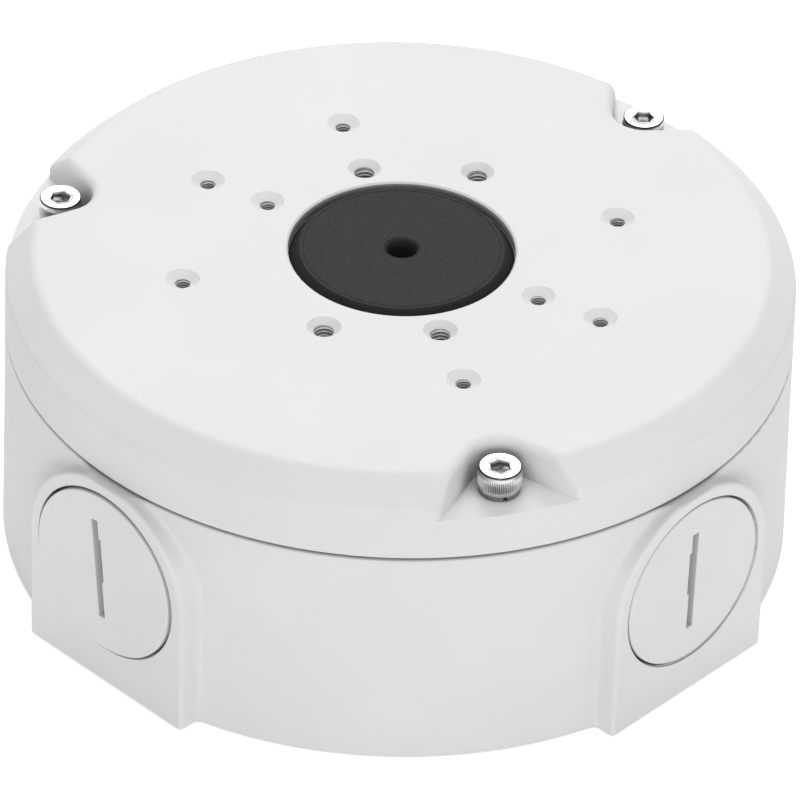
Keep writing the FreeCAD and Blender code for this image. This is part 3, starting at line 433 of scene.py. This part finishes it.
def plated_steel(name):
    """Bright nickel on steel: smooth and clear, darker where its groove attribute is 1: painted
    shade.
    """
    material, tree, shader, place = new_material(name, Metallic=1.0)
    groove = add_node(tree, "ShaderNodeAttribute", attribute_name="groove").outputs["Fac"]
    tone = add_node(tree, "ShaderNodeMix", {
        0: groove, 6: linear("#E3E3E2"), 7: linear("#3C3C3C")}, data_type="RGBA")
    tree.links.new(tone.outputs[2], shader.inputs["Base Color"])
    wear = add_node(tree, "ShaderNodeTexNoise", {
        "Vector": place, "Scale": 1 / (0.4 * MM), "Detail": 3})
    sheen = add_node(tree, "ShaderNodeMapRange", {0: wear.outputs[0], 3: 0.1, 4: 0.24})
    tree.links.new(sheen.outputs[0], shader.inputs["Roughness"])
    relief(tree, shader, wear.outputs[0], 0.002 * MM)
    return material


def cap_screw_rows():
    """The screw as rows of radius, height and share of painted shade over the turn, from tip to
    socket floor.

    The thread's radius is a triangle wave of height / pitch minus turn, and the knurling's one of
    turn times the number of ridges. The socket's is its half width over the cosine from each
    flat. Sizes are in millimetres here."""
    turn = np.arange(screw_columns) / screw_columns
    plain = np.ones(screw_columns)
    knurl = np.abs(turn * knurl_count % 1 * 2 - 1)
    flat = (turn * 6 % 1 - 0.5) * math.pi / 3
    hexagon = socket_half / np.cos(flat)
    rows = [(1.2 * plain, -16.0, 0 * plain), (thread_core * plain, -15.7, 0 * plain)]
    for height in np.arange(-15.5, -0.7, thread_pitch / 4):
        wave = np.abs((height / thread_pitch - turn) % 1 * 2 - 1)
        rows.append((thread_core + thread_height * wave, height, 1 - wave))
    lower = ((1.97, -0.6, 0), (1.97, 0, 0), (3.33, 0, 0.9), (3.43, 0.1, 0.4), (3.43, 0.7, 0.2),
             (3.34, 0.78, 1), (3.36, 0.86, 0.8))
    rows += [(radius * plain, height, painted_dark * plain) for radius, height, painted_dark in lower]
    for height in (0.95, 1.5, 2.1, 2.7):
        ridges = knurl_valley + (knurl_crest - knurl_valley) * knurl
        rows.append((ridges, height, 0.65 * (1 - knurl)))
    rows += [(3.5 * plain, 3.1, 0.1 * plain), (3.5 * plain, 3.45, 0.1 * plain)]
    for corner in np.linspace(0, math.pi / 2, 6):
        rows.append(((3.3 + 0.2 * math.cos(corner)) * plain,
                     head_height - 0.2 + 0.2 * math.sin(corner), plain))
    rows.append((3.25 * plain, head_height, 0 * plain))
    floor = head_height - socket_depth
    rows += [(2.2 * plain, head_height, 0 * plain),
             (2.17 * plain, head_height - 0.01, plain),
             (2.07 * plain, head_height - 0.02, plain),
             (2.04 * plain, head_height - 0.03, 0 * plain),
             (hexagon + 0.15, head_height - 0.08, 0 * plain),
             (hexagon + 0.05, head_height - 0.12, 0.8 * plain),
             (hexagon, head_height - 0.2, 0.4 * plain),
             (hexagon, floor, 0.35 * plain),
             (0.2 * hexagon, floor - 0.25, 0.25 * plain)]
    radius = np.array([row[0] for row in rows])
    height = np.array([row[1] for row in rows])[:, None] * plain
    return turn, radius, height, np.array([row[2] for row in rows])


bright_steel = plated_steel("nickel_plated_steel")
spring_steel, tree, shader, place = new_material("oiled_spring_steel", Metallic=1.0, Roughness=0.42)
mottle_and_painted_shade(tree, shader, place, ("#8E8E8D", "#747473"), 0.5 * MM)
turn, radius, height, groove = cap_screw_rows()
for side, socket_turn in socket_turns.items():
    low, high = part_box("lid_screw_" + side)
    angle = turn * 2 * math.pi + math.radians(socket_turn)
    shape = np.stack([radius * np.cos(angle), radius * np.sin(angle), height], axis=-1) * MM
    seat = np.array([(low.x + high.x) / 2, (low.y + high.y) / 2, high.z - head_height * MM])
    screw = lay_surface("cap_screw_" + side, [shape + seat])
    # The groove attribute holds each point's share of painted shade and painted dark reflection.
    painted_dark = screw.data.attributes.new("groove", "FLOAT", "POINT")
    painted_dark.data.foreach_set("value", np.append(groove.ravel(), (0, 0.25)).astype(np.float32))
    screw.data.materials.append(bright_steel)
    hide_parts("lid_screw_" + side)
    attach(screw, "root")
    finish_node("spring_washer_" + side, spring_steel)

# Studio. A white paper floor that takes the object's soft shadow, a white surround, and three large
# soft lamps. The camera stands where the photograph's stood.
surround_light = 0.35
floor_glow = 0.4
floor_half = 4.0
floor_level = -0.1 * MM
lamps = (
    ("top_lamp", (0.0, 0.0, 2.2), 1.6, 14.9),
    ("rear_lamp", (-1.136, 1.176, 1.472), 1.5, 19.6),
    ("front_lamp", (1.495, -1.548, 0.457), 0.8, 13.2),
    ("side_lamp", (1.981, 0.841, 0.457), 0.8, 2.7),
)


def seen_direct(tree):
    """1 for rays from the camera, a mirror or glass, and 0 for light that falls on a surface."""
    path = add_node(tree, "ShaderNodeLightPath")
    seen = path.outputs["Is Camera Ray"]
    for kind in ("Is Glossy Ray", "Is Transmission Ray"):
        seen = add_node(tree, "ShaderNodeMath", {0: seen, 1: path.outputs[kind]},
                        operation="MAXIMUM").outputs[0]
    return seen


world = bpy.data.worlds.new("white_surround")
bpy.context.scene.world = world
world.use_nodes = True
tree = world.node_tree
tree.nodes.clear()
strength = add_node(tree, "ShaderNodeMapRange", {0: seen_direct(tree), 3: surround_light, 4: 1.0})
background = add_node(tree, "ShaderNodeBackground", {
    "Color": (1, 1, 1, 1), "Strength": strength.outputs[0]})
add_node(tree, "ShaderNodeOutputWorld", {"Surface": background.outputs[0]})

floor_mesh = bpy.data.meshes.new("paper_floor")
floor_mesh.from_pydata([(x * floor_half, y * floor_half, floor_level)
                        for x, y in ((-1, -1), (1, -1), (1, 1), (-1, 1))], [], [(0, 1, 2, 3)])
floor = bpy.data.objects.new("paper_floor", floor_mesh)
bpy.context.scene.collection.objects.link(floor)
paper, tree, shader, place = new_material("white_paper", Roughness=0.9, Specular_IOR_Level=0.0)
mottle_and_painted_shade(tree, shader, place, ("#FFFFFF", "#FDFDFD"), 60 * MM)
glow = add_node(tree, "ShaderNodeMath", {0: seen_direct(tree), 1: floor_glow},
                operation="MULTIPLY")
shader.inputs["Emission Color"].default_value = (1, 1, 1, 1)
tree.links.new(glow.outputs[0], shader.inputs["Emission Strength"])
floor_mesh.materials.append(paper)
floor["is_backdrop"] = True

for name, place, size, watts in lamps:
    light = bpy.data.lights.new(name, "AREA")
    light.shape = "DISK"
    light.size = size
    light.energy = watts
    lamp = bpy.data.objects.new(name, light)
    lamp.location = place
    lamp.rotation_euler = (-Vector(place)).to_track_quat("-Z", "Y").to_euler()
    bpy.context.scene.collection.objects.link(lamp)

eye = bpy.data.cameras.new("camera")
eye.sensor_width = 36
eye.lens = 310.18
eye.clip_start = 0.05
camera = bpy.data.objects.new("camera", eye)
camera.location = (0.644203, -0.678896, 0.725527)
camera.rotation_euler = [math.radians(v) for v in (53.0942, -1.43645, 44.54615)]
bpy.context.scene.collection.objects.link(camera)
bpy.context.scene.camera = camera
bpy.context.scene.view_settings.view_transform = "Standard"

# The imported model's box and the dressed one's.
low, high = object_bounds()
